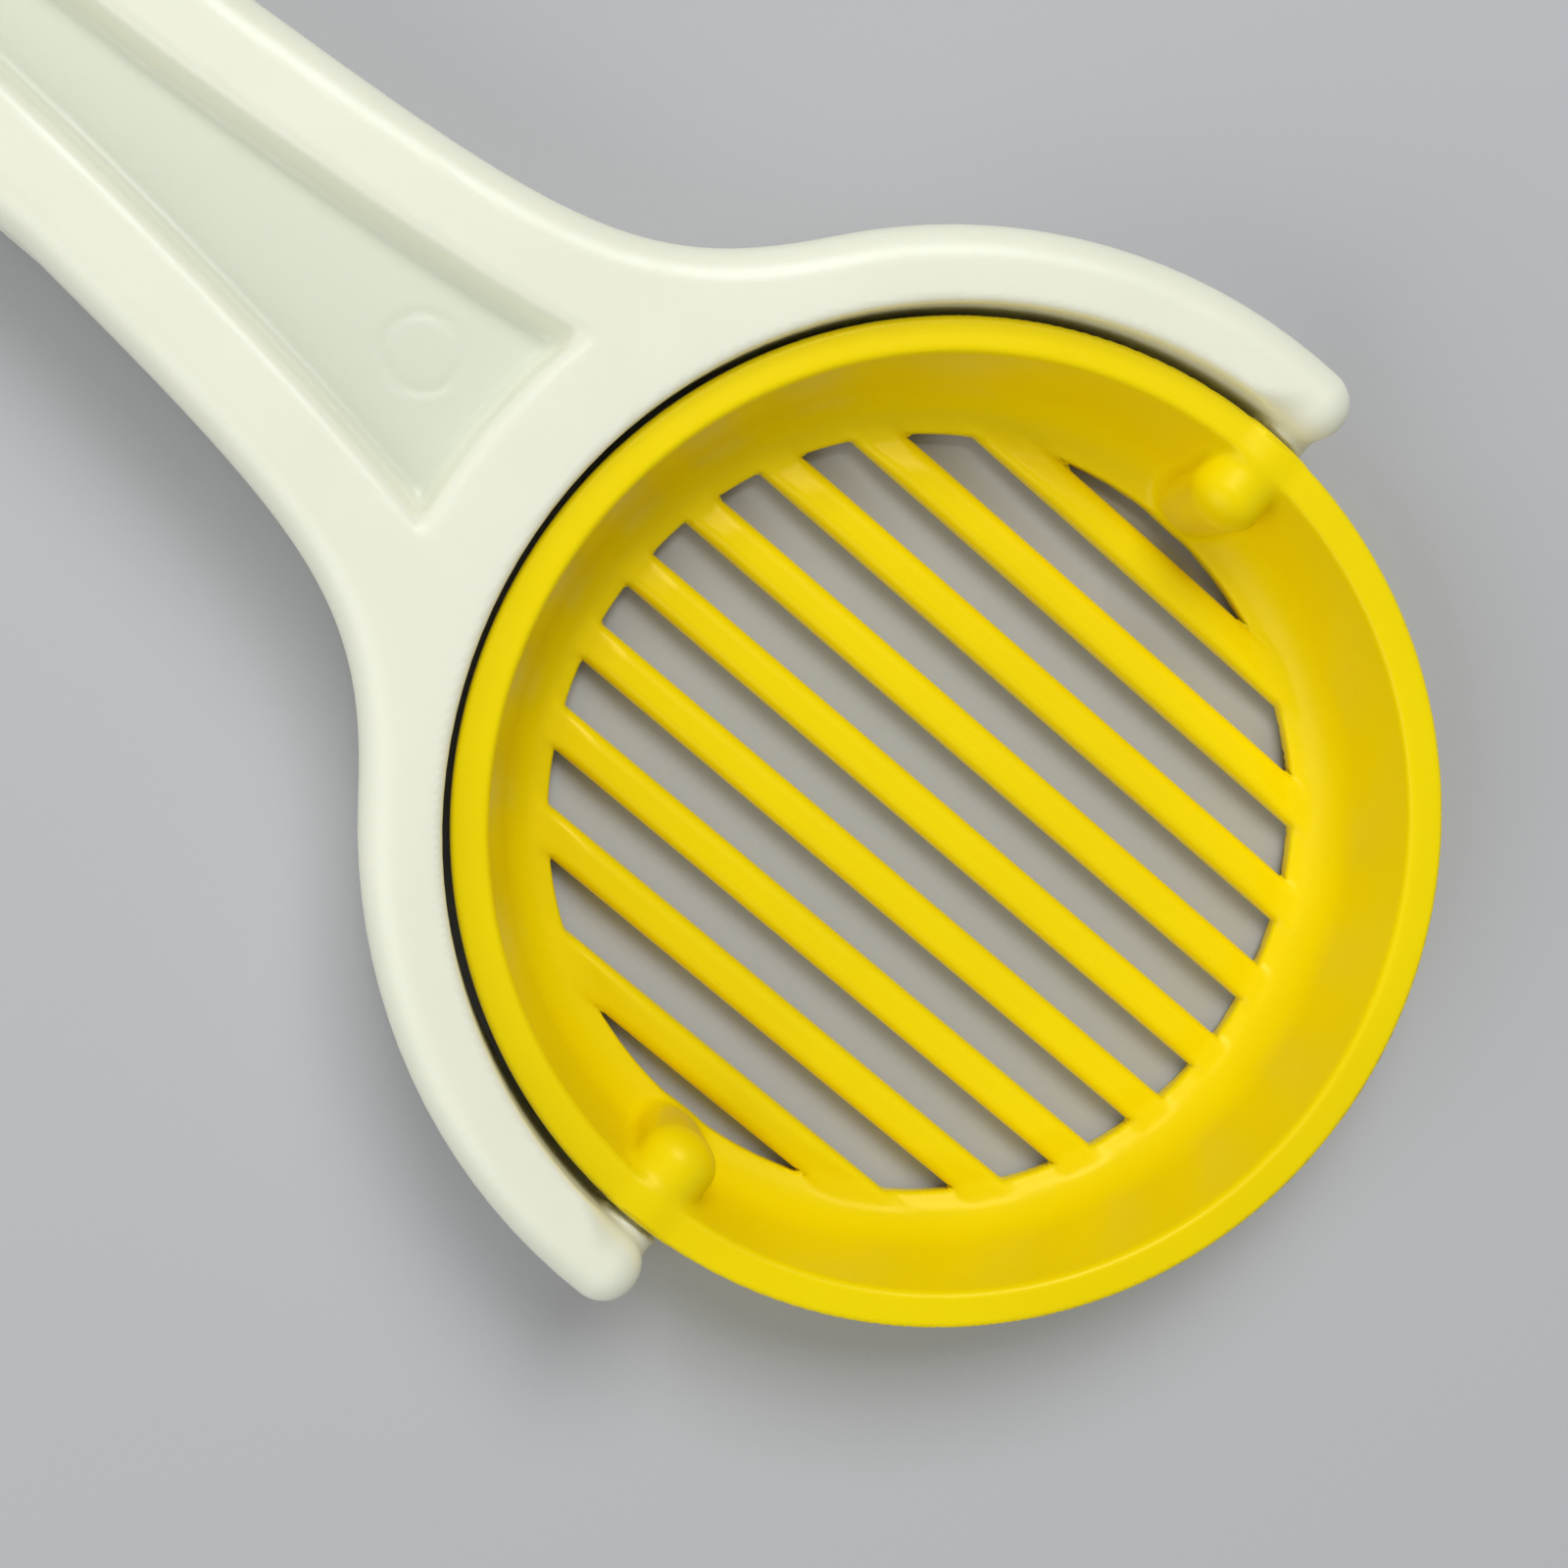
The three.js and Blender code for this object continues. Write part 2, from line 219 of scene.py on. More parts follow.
def bezier(*control: Point, count: int = 24) -> Points:
    """Draws a Bezier curve.

    Args:
        control: its control points.
        count: how many pieces it is drawn in.

    Returns:
        The points.
    """
    degree = len(control) - 1
    shares = np.linspace(0.0, 1.0, count + 1)[:, None]
    curve = sum(
        math.comb(degree, i) * shares**i * (1 - shares) ** (degree - i) * np.array(point)
        for i, point in enumerate(control)
    )
    return [tuple(point) for point in curve]


def rounded(corners: Sequence[tuple[float, float, float]]) -> Points:
    """Rounds a closed polygon.

    Args:
        corners: (across, up, size of the rounding) of each corner.

    Returns:
        The outline, each corner turned into a short curve.
    """
    outline: Points = []
    for i, (x, y, size) in enumerate(corners):
        here = np.array([x, y])
        before = np.array(corners[i - 1][:2]) - here
        after = np.array(corners[(i + 1) % len(corners)][:2]) - here
        ends = []
        for way in (before, after):
            length = np.linalg.norm(way)
            ends.append(here + way / length * min(size, length / 2))
        outline += bezier(tuple(ends[0]), (x, y), tuple(ends[1]), count=6)
    return outline


class Outline:
    """A closed outline in a plane."""

    def __init__(self, points: Points) -> None:
        """Keeps the points, without repeats."""
        touching = 1e-6
        loop = np.array(points, float)
        apart = np.linalg.norm(loop - np.roll(loop, 1, axis=0), axis=1) > touching
        self.points = loop[apart]

    def distance(self, x: Array, y: Array) -> Array:
        """Returns the distance to the outline, negative inside."""
        x, y = np.broadcast_arrays(x, y)
        nearest = np.full(x.shape, np.inf)
        inside = np.zeros(x.shape, bool)
        for (x0, y0), (x1, y1) in zip(self.points, np.roll(self.points, -1, axis=0)):
            dx, dy = x1 - x0, y1 - y0
            along = np.clip(((x - x0) * dx + (y - y0) * dy) / (dx * dx + dy * dy), 0, 1)
            nearest = np.minimum(nearest, (x - x0 - along * dx) ** 2 + (y - y0 - along * dy) ** 2)
            if dy:
                crosses = ((y0 <= y) != (y1 <= y)) & (x < x0 + (y - y0) / dy * dx)
                inside ^= crosses
        return np.where(inside, -1.0, 1.0) * np.sqrt(nearest)


# ---- Turning a field into a mesh ----
CORNERS = np.array([[i, j, k] for i in (0, 1) for j in (0, 1) for k in (0, 1)])
EDGES = [(a, b) for a in range(8) for b in range(a + 1, 8) if abs(CORNERS[a] - CORNERS[b]).sum() == 1]


@dataclass
class FieldMesher:
    """Meshes a distance field by surface nets, then pulls the vertices onto the surface."""

    step: float
    tiny: float = 1e-9  # keeps a division from meeting zero

    def mesh(self, field: Field, low: Array, high: Array) -> tuple[Array, Array, Array]:
        """Meshes the zero surface of a field.

        Args:
            field: the part's distance field.
            low: lowest corner of the part's box.
            high: highest corner of the part's box.

        Returns:
            Vertices, quads that face outwards, and the surface normal at each vertex.
        """
        lead = 1.3 * self.step  # keeps the grid's planes off the part's flat faces
        axes = [np.arange(a - lead, b + 2 * self.step, self.step) for a, b in zip(low, high)]
        shape = tuple(len(axis) for axis in axes)
        x, y, z = np.meshgrid(*axes, indexing="ij", sparse=True)
        values = np.broadcast_to(field(x, y, z), shape)
        vertices, cell_of = self._cell_points(values, axes)
        quads = self._quads(values < 0, cell_of)
        vertices = self._settled(field, vertices)
        return vertices, quads, self._gradient(field, vertices, normal=True)

    def _cell_points(self, values: Array, axes: list[Array]) -> tuple[Array, Array]:
        """Puts one vertex in each cell that the surface crosses, amid the crossings.

        Args:
            values: the field at the grid's points.
            axes: the grid's coordinates along X, Y and Z.

        Returns:
            The vertices, and each cell's vertex number, or -1.
        """
        cells = tuple(n - 1 for n in values.shape)
        full = np.zeros(cells, np.uint8)  # how many of a cell's corners are inside
        for i, j, k in CORNERS:
            full += values[i : i + cells[0], j : j + cells[1], k : k + cells[2]] < 0
        crossed = np.argwhere((full > 0) & (full < 8))
        at_corner = [values[tuple((crossed + corner).T)] for corner in CORNERS]
        total = np.zeros((len(crossed), 3))
        count = np.zeros((len(crossed), 1))
        for a, b in EDGES:
            cut = (at_corner[a] < 0) != (at_corner[b] < 0)
            rise = np.where(cut, at_corner[a] - at_corner[b], 1.0)
            share = (at_corner[a] / rise)[:, None]
            place = CORNERS[a] + share * (CORNERS[b] - CORNERS[a])
            total += np.where(cut[:, None], place, 0.0)
            count += cut[:, None]
        start = np.array([axis[0] for axis in axes])
        cell_of = np.full(cells, -1, np.int64)
        cell_of[tuple(crossed.T)] = np.arange(len(crossed))
        return start + (crossed + total / count) * self.step, cell_of

    @staticmethod
    def _quads(inside: Array, cell_of: Array) -> Array:
        """Joins the four cells round every grid edge that the surface crosses.

        Args:
            inside: whether each point of the grid is inside the part.
            cell_of: each cell's vertex number.

        Returns:
            Four vertex numbers a quad, facing outwards.
        """
        found = []
        for axis in range(3):
            u, v = (axis + 1) % 3, (axis + 2) % 3
            near = np.take(inside, range(inside.shape[axis] - 1), axis)
            far = np.take(inside, range(1, inside.shape[axis]), axis)
            for leaving in (True, False):
                at = np.argwhere((near == leaving) & (far != leaving))
                ring = []
                for du, dv in ((-1, -1), (0, -1), (0, 0), (-1, 0)):
                    cell = at.copy()
                    cell[:, u] += du
                    cell[:, v] += dv
                    ring.append(cell_of[tuple(cell.T)])
                quad = np.stack(ring, axis=1)
                found.append(quad if leaving else quad[:, ::-1])
        return np.concatenate(found)

    def _gradient(self, field: Field, points: Array, normal: bool = False) -> Array:
        """Finds the field's slope.

        Args:
            field: the part's distance field.
            points: where to find it.
            normal: whether to scale it to a unit normal.

        Returns:
            A vector for each point.
        """
        reach = 0.3 * self.step
        slope = np.empty_like(points)
        for axis in range(3):
            ahead, behind = points.copy(), points.copy()
            ahead[:, axis] += reach
            behind[:, axis] -= reach
            slope[:, axis] = (field(*ahead.T) - field(*behind.T)) / (2 * reach)
        if not normal:
            return slope
        return slope / np.maximum(np.linalg.norm(slope, axis=1, keepdims=True), self.tiny)

    def _settled(self, field: Field, points: Array) -> Array:
        """Moves the points along the slope to the surface, by no more than half a step."""
        gentlest = 0.05  # a flatter slope is treated as this one, so that no point shoots away
        slope = self._gradient(field, points)
        steep = np.maximum((slope**2).sum(axis=1), gentlest)
        move = -(field(*points.T) / steep)[:, None] * slope
        length = np.maximum(np.linalg.norm(move, axis=1, keepdims=True), self.tiny)
        return points + move * np.minimum(1.0, 0.5 * self.step / length)


# ---- Materials ----
def linear_colour(colour: str) -> Colour:
    """Turns an sRGB hex colour such as "#f0d408" into linear RGBA."""
    channels = [int(colour[i : i + 2], 16) / 255 for i in (1, 3, 5)]
    linear = [c / 12.92 if c <= 0.04045 else ((c + 0.055) / 1.055) ** 2.4 for c in channels]
    return (*linear, 1.0)


def add_node(
    tree: Tree, kind: str, settings: dict | None = None, inputs: dict | None = None
) -> bpy.types.Node:
    """Adds a shader node.

    Args:
        tree: the material's node tree.
        kind: the node's Blender type.
        settings: attribute values.
        inputs: socket values, or the output sockets that they are linked to.

    Returns:
        The node.
    """
    node = tree.nodes.new(kind)
    for name, value in (settings or {}).items():
        setattr(node, name, value)
    for name, value in (inputs or {}).items():
        if isinstance(value, Socket):
            tree.links.new(value, node.inputs[name])
        else:
            node.inputs[name].default_value = value
    return node


def noise(tree: Tree, place: Socket, size: float, detail: float = 2.0) -> Socket:
    """Returns the output of a noise whose blobs are about `size` metres across."""
    inputs = {"Vector": place, "Scale": 1 / size, "Detail": detail}
    return add_node(tree, "ShaderNodeTexNoise", inputs=inputs).outputs["Fac"]


def in_range(tree: Tree, value: Socket, start: float, end: float, low: float, high: float) -> Socket:
    """Returns a value mapped from start..end to low..high, held at both ends."""
    inputs = {"Value": value, "From Min": start, "From Max": end, "To Min": low, "To Max": high}
    return add_node(tree, "ShaderNodeMapRange", inputs=inputs).outputs["Result"]


def mixed(tree: Tree, share: Socket, first: Socket | Colour, second: Colour) -> Socket:
    """Returns a colour that runs from the first, where the share is 0, to the second."""
    inputs = {"Fac": share, "Color1": first, "Color2": second}
    return add_node(tree, "ShaderNodeMixRGB", inputs=inputs).outputs["Color"]


def bumped(
    tree: Tree, height: Socket, depth: float, strength: float, under: Socket | None = None
) -> Socket:
    """Disturbs the normal by a height.

    Args:
        tree: the material's node tree.
        height: output that says how high the surface is, from 0 to 1.
        depth: what a height of 1 means, in metres.
        strength: share of the disturbance that is used.
        under: the normal that is disturbed, if it isn't the mesh's own.

    Returns:
        The new normal.
    """
    inputs = {"Height": height, "Distance": depth, "Strength": strength}
    if under is not None:
        inputs["Normal"] = under
    return add_node(tree, "ShaderNodeBump", inputs=inputs).outputs["Normal"]


def new_tree(name: str) -> tuple[bpy.types.Material, Tree]:
    """Returns a new material and its empty node tree."""
    material = bpy.data.materials.new(name)
    material.use_nodes = True
    material.node_tree.nodes.clear()
    return material, material.node_tree


@dataclass(frozen=True)
class MouldedPlastic:
    """Injection-moulded plastic: light goes a little way in, and the skin is satin, not glassy."""

    name: str
    colour: str
    shade: str  # where the melt flowed thicker or cooler
    recess_shade_colour: str  # painted shade: the recess floor, where the wall is thin and less light comes back, is drawn in this darker colour
    roughness: float
    glow_depth: float  # how far light spreads inside, in metres
    glow_tint: tuple[float, float, float]  # how far red, green and blue go, against that depth
    glow: float  # share of the light that goes in
    shine: float = 0.5  # strength of the surface reflection
    shine_tint: str = "#ffffff"
    index: float = 1.5

    def material(self) -> bpy.types.Material:
        """Builds the material."""
        made, tree = new_tree(self.name)
        place = add_node(tree, "ShaderNodeTexCoord").outputs["Object"]
        colour = self._colour(tree, place)
        shader = add_node(
            tree,
            "ShaderNodeBsdfPrincipled",
            {"subsurface_method": "RANDOM_WALK"},
            {
                "Base Color": colour,
                "Roughness": self._roughness(tree, place),
                "IOR": self.index,
                "Specular IOR Level": self.shine,
                "Specular Tint": linear_colour(self.shine_tint),
                "Subsurface Weight": self.glow,
                "Subsurface Radius": self.glow_tint,
                "Subsurface Scale": self.glow_depth,
                "Normal": self._skin(tree, place),
            },
        )
        add_node(tree, "ShaderNodeOutputMaterial", inputs={"Surface": shader.outputs["BSDF"]})
        return made

    def _colour(self, tree: Tree, place: Socket) -> Socket:
        """Clouds from the pigment, 22 mm across, and painted shade: thin walls are drawn in a darker
        tint.
        """
        cloud = in_range(tree, noise(tree, place, 22 * MM, 3.0), 0.35, 0.65, 0.0, 1.0)
        base = mixed(tree, cloud, linear_colour(self.colour), linear_colour(self.shade))
        # painted shade: the thin attribute says where the recess floor is drawn darker
        thin = add_node(tree, "ShaderNodeAttribute", {"attribute_name": "thin"}).outputs["Fac"]
        return mixed(tree, thin, base, linear_colour(self.recess_shade_colour))

    def _roughness(self, tree: Tree, place: Socket) -> Socket:
        """Handling leaves the satin patchy, and fine scuffs run mostly along the part."""
        patch = in_range(tree, noise(tree, place, 9 * MM, 4.0), 0.3, 0.7, -0.05, 0.05)
        squeeze = {"Vector": place, "Scale": (0.06, 1.0, 1.0), "Rotation": (0.0, 0.0, 0.35)}
        along = add_node(tree, "ShaderNodeMapping", inputs=squeeze).outputs["Vector"]
        scuff = in_range(tree, noise(tree, along, 0.7 * MM, 2.0), 0.62, 0.74, 0.0, 0.12)
        wear = add_node(tree, "ShaderNodeMath", {"operation": "ADD"}, {0: patch, 1: scuff})
        total = {0: wear.outputs[0], 1: self.roughness}
        return add_node(tree, "ShaderNodeMath", {"operation": "ADD"}, total).outputs[0]

    def _skin(self, tree: Tree, place: Socket) -> Socket:
        """The mould's fine spark-eroded grain over the slow waves that shrinkage leaves."""
        waves = bumped(tree, noise(tree, place, 7 * MM, 1.0), 0.12 * MM, 0.5)
        # The real grain is about 0.1 mm; it is drawn at 0.35 mm so that it shows.
        return bumped(tree, noise(tree, place, 0.35 * MM, 2.0), 0.01 * MM, 0.6, waves)


@dataclass(frozen=True)
class FineSteel:
    """Stainless steel that was drawn or turned: bright, with fine lines in one direction."""

    name: str
    colour: str
    roughness: float
    grain: Grain
    dull_colour: str = "#a3a5a6"  # where handling has dulled it, in patches 4 mm across

    def material(self) -> bpy.types.Material:
        """Builds the material."""
        made, tree = new_tree(self.name)
        place = add_node(tree, "ShaderNodeTexCoord").outputs["Object"]
        stretch = {"Vector": place, "Scale": self.grain.value}
        lines_at = add_node(tree, "ShaderNodeMapping", inputs=stretch).outputs["Vector"]
        lines = add_node(tree, "ShaderNodeTexNoise", inputs={"Vector": lines_at, "Scale": 1.0})
        line = lines.outputs["Fac"]
        patch = in_range(tree, noise(tree, place, 4 * MM), 0.4, 0.7, 0.0, 0.5)
        colour = mixed(tree, patch, linear_colour(self.colour), linear_colour(self.dull_colour))
        shiniest = self.roughness - 0.06
        dullest = self.roughness + 0.1
        shader = add_node(
            tree,
            "ShaderNodeBsdfPrincipled",
            inputs={
                "Base Color": colour,
                "Metallic": 1.0,
                "Roughness": in_range(tree, line, 0.3, 0.7, shiniest, dullest),
                "Normal": bumped(tree, line, 0.004 * MM, 0.6),
            },
        )
        add_node(tree, "ShaderNodeOutputMaterial", inputs={"Surface": shader.outputs["BSDF"]})
        return made


@dataclass(frozen=True)
class PaperFloor:
    """Pale seamless paper: matt, with a barely visible tooth."""

    name: str
    colour: str

    def material(self) -> bpy.types.Material:
        """Builds the material."""
        made, tree = new_tree(self.name)
        place = add_node(tree, "ShaderNodeTexCoord").outputs["Object"]
        tooth = bumped(tree, noise(tree, place, 0.6 * MM, 4.0), 0.04 * MM, 0.5)
        inputs = {"Base Color": linear_colour(self.colour), "Roughness": 0.85, "Normal": tooth}
        shader = add_node(tree, "ShaderNodeBsdfPrincipled", inputs=inputs)
        add_node(tree, "ShaderNodeOutputMaterial", inputs={"Surface": shader.outputs["BSDF"]})
        return made


FINISHES = {
    # Warm white with a green cast; it glows softly because polypropylene passes some light.
    Slot.IVORY: MouldedPlastic(
        name="ivory_polypropylene",
        colour="#edeedb",
        shade="#e8ead6",
        # painted shade: the thin recess floor is drawn in this darker, greener colour
        recess_shade_colour="#d9dfcb",
        roughness=0.36,
        glow_depth=3.5 * MM,
        glow_tint=(1.0, 0.95, 0.75),
        glow=0.35,
    ),
    # Strong lemon yellow, deeper where light bounces between walls.
    Slot.YELLOW: MouldedPlastic(
        name="yellow_polypropylene",
        colour="#f5dc00",
        shade="#f0d600",
        recess_shade_colour="#f5dc00",
        roughness=0.33,
        glow_depth=1.2 * MM,
        glow_tint=(1.0, 0.85, 0.15),
        glow=0.12,
        shine=0.35,
        shine_tint="#ffe9a0",
    ),
    # Thin hard-drawn wire: the bright line along it breaks up a little.
    Slot.WIRE: FineSteel("drawn_stainless_wire", "#c9cbcd", 0.22, Grain.DRAWN_ALONG_X),
    # Turned pin and pressed cap: rings round the axis.
    Slot.HINGE: FineSteel("turned_stainless", "#c4c6c8", 0.3, Grain.TURNED_ABOUT_Y),
}


# ---- Pieces ----
def make_object(
    name: str, vertices: Array, faces: Iterable[Sequence[int]], slot: Slot
) -> bpy.types.Object:
    """Makes a smooth-shaded mesh object.

    Args:
        name: the object's name.
        vertices: its points in the row frame, in metres.
        faces: the vertex numbers of each face.
        slot: the material slot whose finish it wears.

    Returns:
        The object.
    """
    mesh = bpy.data.meshes.new(name)
    mesh.from_pydata(vertices.tolist(), [], [list(map(int, face)) for face in faces])
    mesh.validate()
    mesh.shade_smooth()
    mesh.materials.append(bpy.data.materials[FINISHES[slot].name])
    made = bpy.data.objects.new(name, mesh)
    bpy.context.scene.collection.objects.link(made)
    return made


def settle(piece: bpy.types.Object, node: str, body: str) -> None:
    """Lets a piece stand for a CAD node, and logs it.

    Args:
        piece: the piece.
        node: the CAD node that it replaces.
        body: the moving body that it rides on.
    """
    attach(piece, body)
    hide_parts(node)
    LOG.info("%s: %d faces on %s", piece.name, len(piece.data.polygons), body)


@dataclass
class Moulding:
    """A moulded part described by a distance field."""

    node: str
    body: str
    slot: Slot
    placement: Placement
    step: float = 0.45

    def field(self, x: Array, y: Array, z: Array) -> Array:
        """Returns the distance to the part's surface."""
        raise NotImplementedError

    def painted_recess_shade(self, points: Array) -> Array:
        """Returns 1 where painted shade darkens a thin wall, and 0 elsewhere."""
        return np.zeros(len(points))

    def box(self) -> tuple[Array, Array]:
        """Returns the CAD node's box in the arm's own millimetres."""
        corners = np.array([list(corner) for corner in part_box(self.node)])
        local = (corners - [self.placement.hinge_x, 0, 0]) * self.placement.facing / MM
        return local.min(axis=0), local.max(axis=0)

    def build(self) -> bpy.types.Object:
        """Meshes the field, writes its normals and tint, and puts it in the frame."""
        low, high = self.box()
        vertices, quads, normals = FieldMesher(self.step).mesh(self.field, low, high)
        vertices = np.clip(vertices, low, high)  # settling may overshoot a sharp edge a little
        placed = self.placement.to_row(vertices)
        piece = make_object("moulded_" + self.node, placed, quads, self.slot)
        normals *= self.placement.facing
        piece.data.normals_split_custom_set_from_vertices(normals.tolist())
        # painted shade: how far each vertex takes the darker recess colour, kept as the thin
        # attribute
        tint = piece.data.attributes.new("thin", "FLOAT", "POINT")
        tint.data.foreach_set("value", self.painted_recess_shade(vertices).astype(np.float32))
        settle(piece, self.node, self.body)
        return piece


@dataclass
class Arm(Moulding):
    """One half of the tongs: a handle with a recess in each face, knuckles and a round head.

    Pairs of numbers are places on the outline, back from the head's middle and out sideways.
    """

    hinge_half: float = 10.0  # half width of the handle at the hinge
    flare_start: Point = (70.0, 10.6)
    flare_bends: tuple[Point, Point] = ((44.8, 12.9), (39.7, 14.1))
    flare_angle: float = 142.8  # where the handle's flare runs into the head, in degrees
    outer_edge: float = 2.5  # rounding of the outside, which the hand meets
    crisp_edge: float = 0.5  # rounding where the mould parts cleanly
    crisp_until: float = 2.0  # the handle's edges turn soft between these, from the hinge axis
    soft_from: float = 12.0
    wall_draft: float = 0.3  # lean of the shallow recess walls on the inner side
    back_draft: float = 0.08  # lean of the deep recess walls on the back
    side_draft: float = 0.012  # lean of the outside away from the parting line
    recess_front: float = 40.9  # radius about the head's middle
    recess_front_round: float = 1.0
    recess_past: Point = (34.0, 9.3)  # hidden corner beyond the recess's front
    recess_bends: tuple[Point, ...] = ((40.1, 8.05), (52.0, 5.6), (72.0, 4.0))
    recess_end: float = 38.0  # from the hinge axis to the centre of the recess's narrow end
    recess_end_r: float = 1.6
    recess_fillet: float = 0.8
    recess_lip: float = 0.8
    back_fillet: float = 1.0
    back_lip: float = 0.7
    floor_top: float = 12.0
    floor_bottom: float = 9.5
    ejector: Point = (47.3, 0.7)  # centre of the ring that an ejector pin left
    ejector_r: float = 2.5
    ejector_depth: float = 0.06
    ejector_line: float = 0.35  # width of the ring's line
    barrel: float = 4.6
    bore: float = 1.8
    bore_edge: float = 0.3
    knuckle_split: float = 5.0  # from the middle to the gap between two knuckles
    knuckle_edge: float = 0.5
    knuckle_root: float = 1.2
    play: float = 0.2  # half the gap between two knuckles
    room: float = 0.4  # room round the other arm's knuckles
    room_edge: float = 0.25

    def __post_init__(self) -> None:
        """Draws the outlines once."""
        self.outline = Outline(self.side_of_handle(-1) + self.head() + self.side_of_handle(1)[::-1])
        self.recess_sides = Outline(self.recess_points())

    def side_of_handle(self, side: int) -> Points:
        """Returns one side of the handle, from the hinge to the head."""
        flare = math.radians(self.flare_angle)
        meets = (REACH + HEAD_R * math.cos(flare), side * HEAD_R * math.sin(flare))
        bends = [(REACH - back, side * out) for back, out in (self.flare_start, *self.flare_bends)]
        return [(HALF_GAP, side * self.hinge_half)] + bezier(*bends, meets)

    def head(self) -> Points:
        """Returns the outline of the head, from the side of the handle at -Y to the one at +Y."""
        return arc((REACH, 0), HEAD_R, -self.flare_angle, self.flare_angle)

    def recess_points(self) -> Points:
        """Returns the recess's sides, which close in to the hinge and run on into the head."""
        past = (REACH - self.recess_past[0], self.recess_past[1])
        near = [past] + bezier(*((REACH - back, out) for back, out in self.recess_bends))
        end = arc((self.recess_end, 0), self.recess_end_r, 90, 270, 15.0)
        far = [(x, -y) for x, y in near[::-1]]
        return near + end + far

    def recess_distance(self, x: Array, y: Array) -> Array:
        """Returns the distance to the recess's outline, whose front follows the head."""
        front = self.recess_front - np.hypot(x - REACH, y)
        return smooth_max(self.recess_sides.distance(x, y), front, self.recess_front_round)

    def edge_at(self, x: Array, y: Array) -> Array:
        """Returns the rounding of the outside: crisp at the hinge, soft in the hand."""
        soft = smooth_step(x, self.crisp_until, self.soft_from)
        return self.crisp_edge + (self.outer_edge - self.crisp_edge) * soft + 0 * y

    def field(self, x: Array, y: Array, z: Array) -> Array:
        """Returns the distance to the arm's surface."""
        side = self.outline.distance(x, y) + self.side_draft * np.abs(z - ARM_HEIGHT / 2)
        body = slab(side, z, 0.0, ARM_HEIGHT, self.edge_at(x, y))
        body = self.with_recesses(body, x, y, z)
        body = self.with_head(body, x, y, z)
        return self.with_knuckles(body, x, y, z)

    def with_recesses(self, body: Array, x: Array, y: Array, z: Array) -> Array:
        """Sinks both faces, which leaves a thin floor; the pin that ejects it left a ring."""
        recess = self.recess_distance(x, y)
        back, out = self.ejector
        mark = np.hypot(x - (REACH - back), y - out) - self.ejector_r
        floor_top = self.floor_top - self.ejector_depth * np.exp(-((mark / self.ejector_line) ** 2))
        walls = recess + self.wall_draft * (ARM_HEIGHT - z)
        upper = smooth_max(walls, floor_top - z, self.recess_fillet)
        back_walls = recess + self.back_draft * z
        lower = smooth_max(back_walls, z - self.floor_bottom, self.back_fillet)
        return smooth_max(smooth_max(body, -upper, self.recess_lip), -lower, self.back_lip)

    def with_head(self, body: Array, x: Array, y: Array, z: Array) -> Array:
        """Adds what the head holds."""
        raise NotImplementedError

    def own_knuckles(self, y: Array) -> tuple[Array, Array]:
        """Returns how far y is from this arm's knuckles, and from the room of the other's."""
        raise NotImplementedError

    def with_knuckles(self, body: Array, x: Array, y: Array, z: Array) -> Array:
        """Adds this arm's knuckles, the room for the other arm's, and the pin's bore."""
        radial = np.hypot(x, z - HINGE_Z)
        own, other = self.own_knuckles(y)
        knuckle = smooth_max(radial - self.barrel, own, self.knuckle_edge)
        body = smooth_min(body, knuckle, self.knuckle_root)
        room = np.maximum(radial - self.barrel - self.room, other)
        body = smooth_max(body, -room, self.room_edge)
        return smooth_max(body, self.bore - radial, self.bore_edge)

    def painted_recess_shade(self, points: Array) -> Array:
        """Returns 1 on the thin floor of the recess, where painted shade darkens it, and fades out at
        its walls.
        """
        x, y, z = points.T
        wall_near, wall_far = 0.5, 1.3
        floor_far, floor_near = 1.9, 1.4
        within = smooth_step(-self.recess_distance(x, y), wall_near, wall_far)
        off_floor = np.abs(z - (self.floor_top + self.floor_bottom) / 2)
        return within * smooth_step(-off_floor, -floor_far, -floor_near)


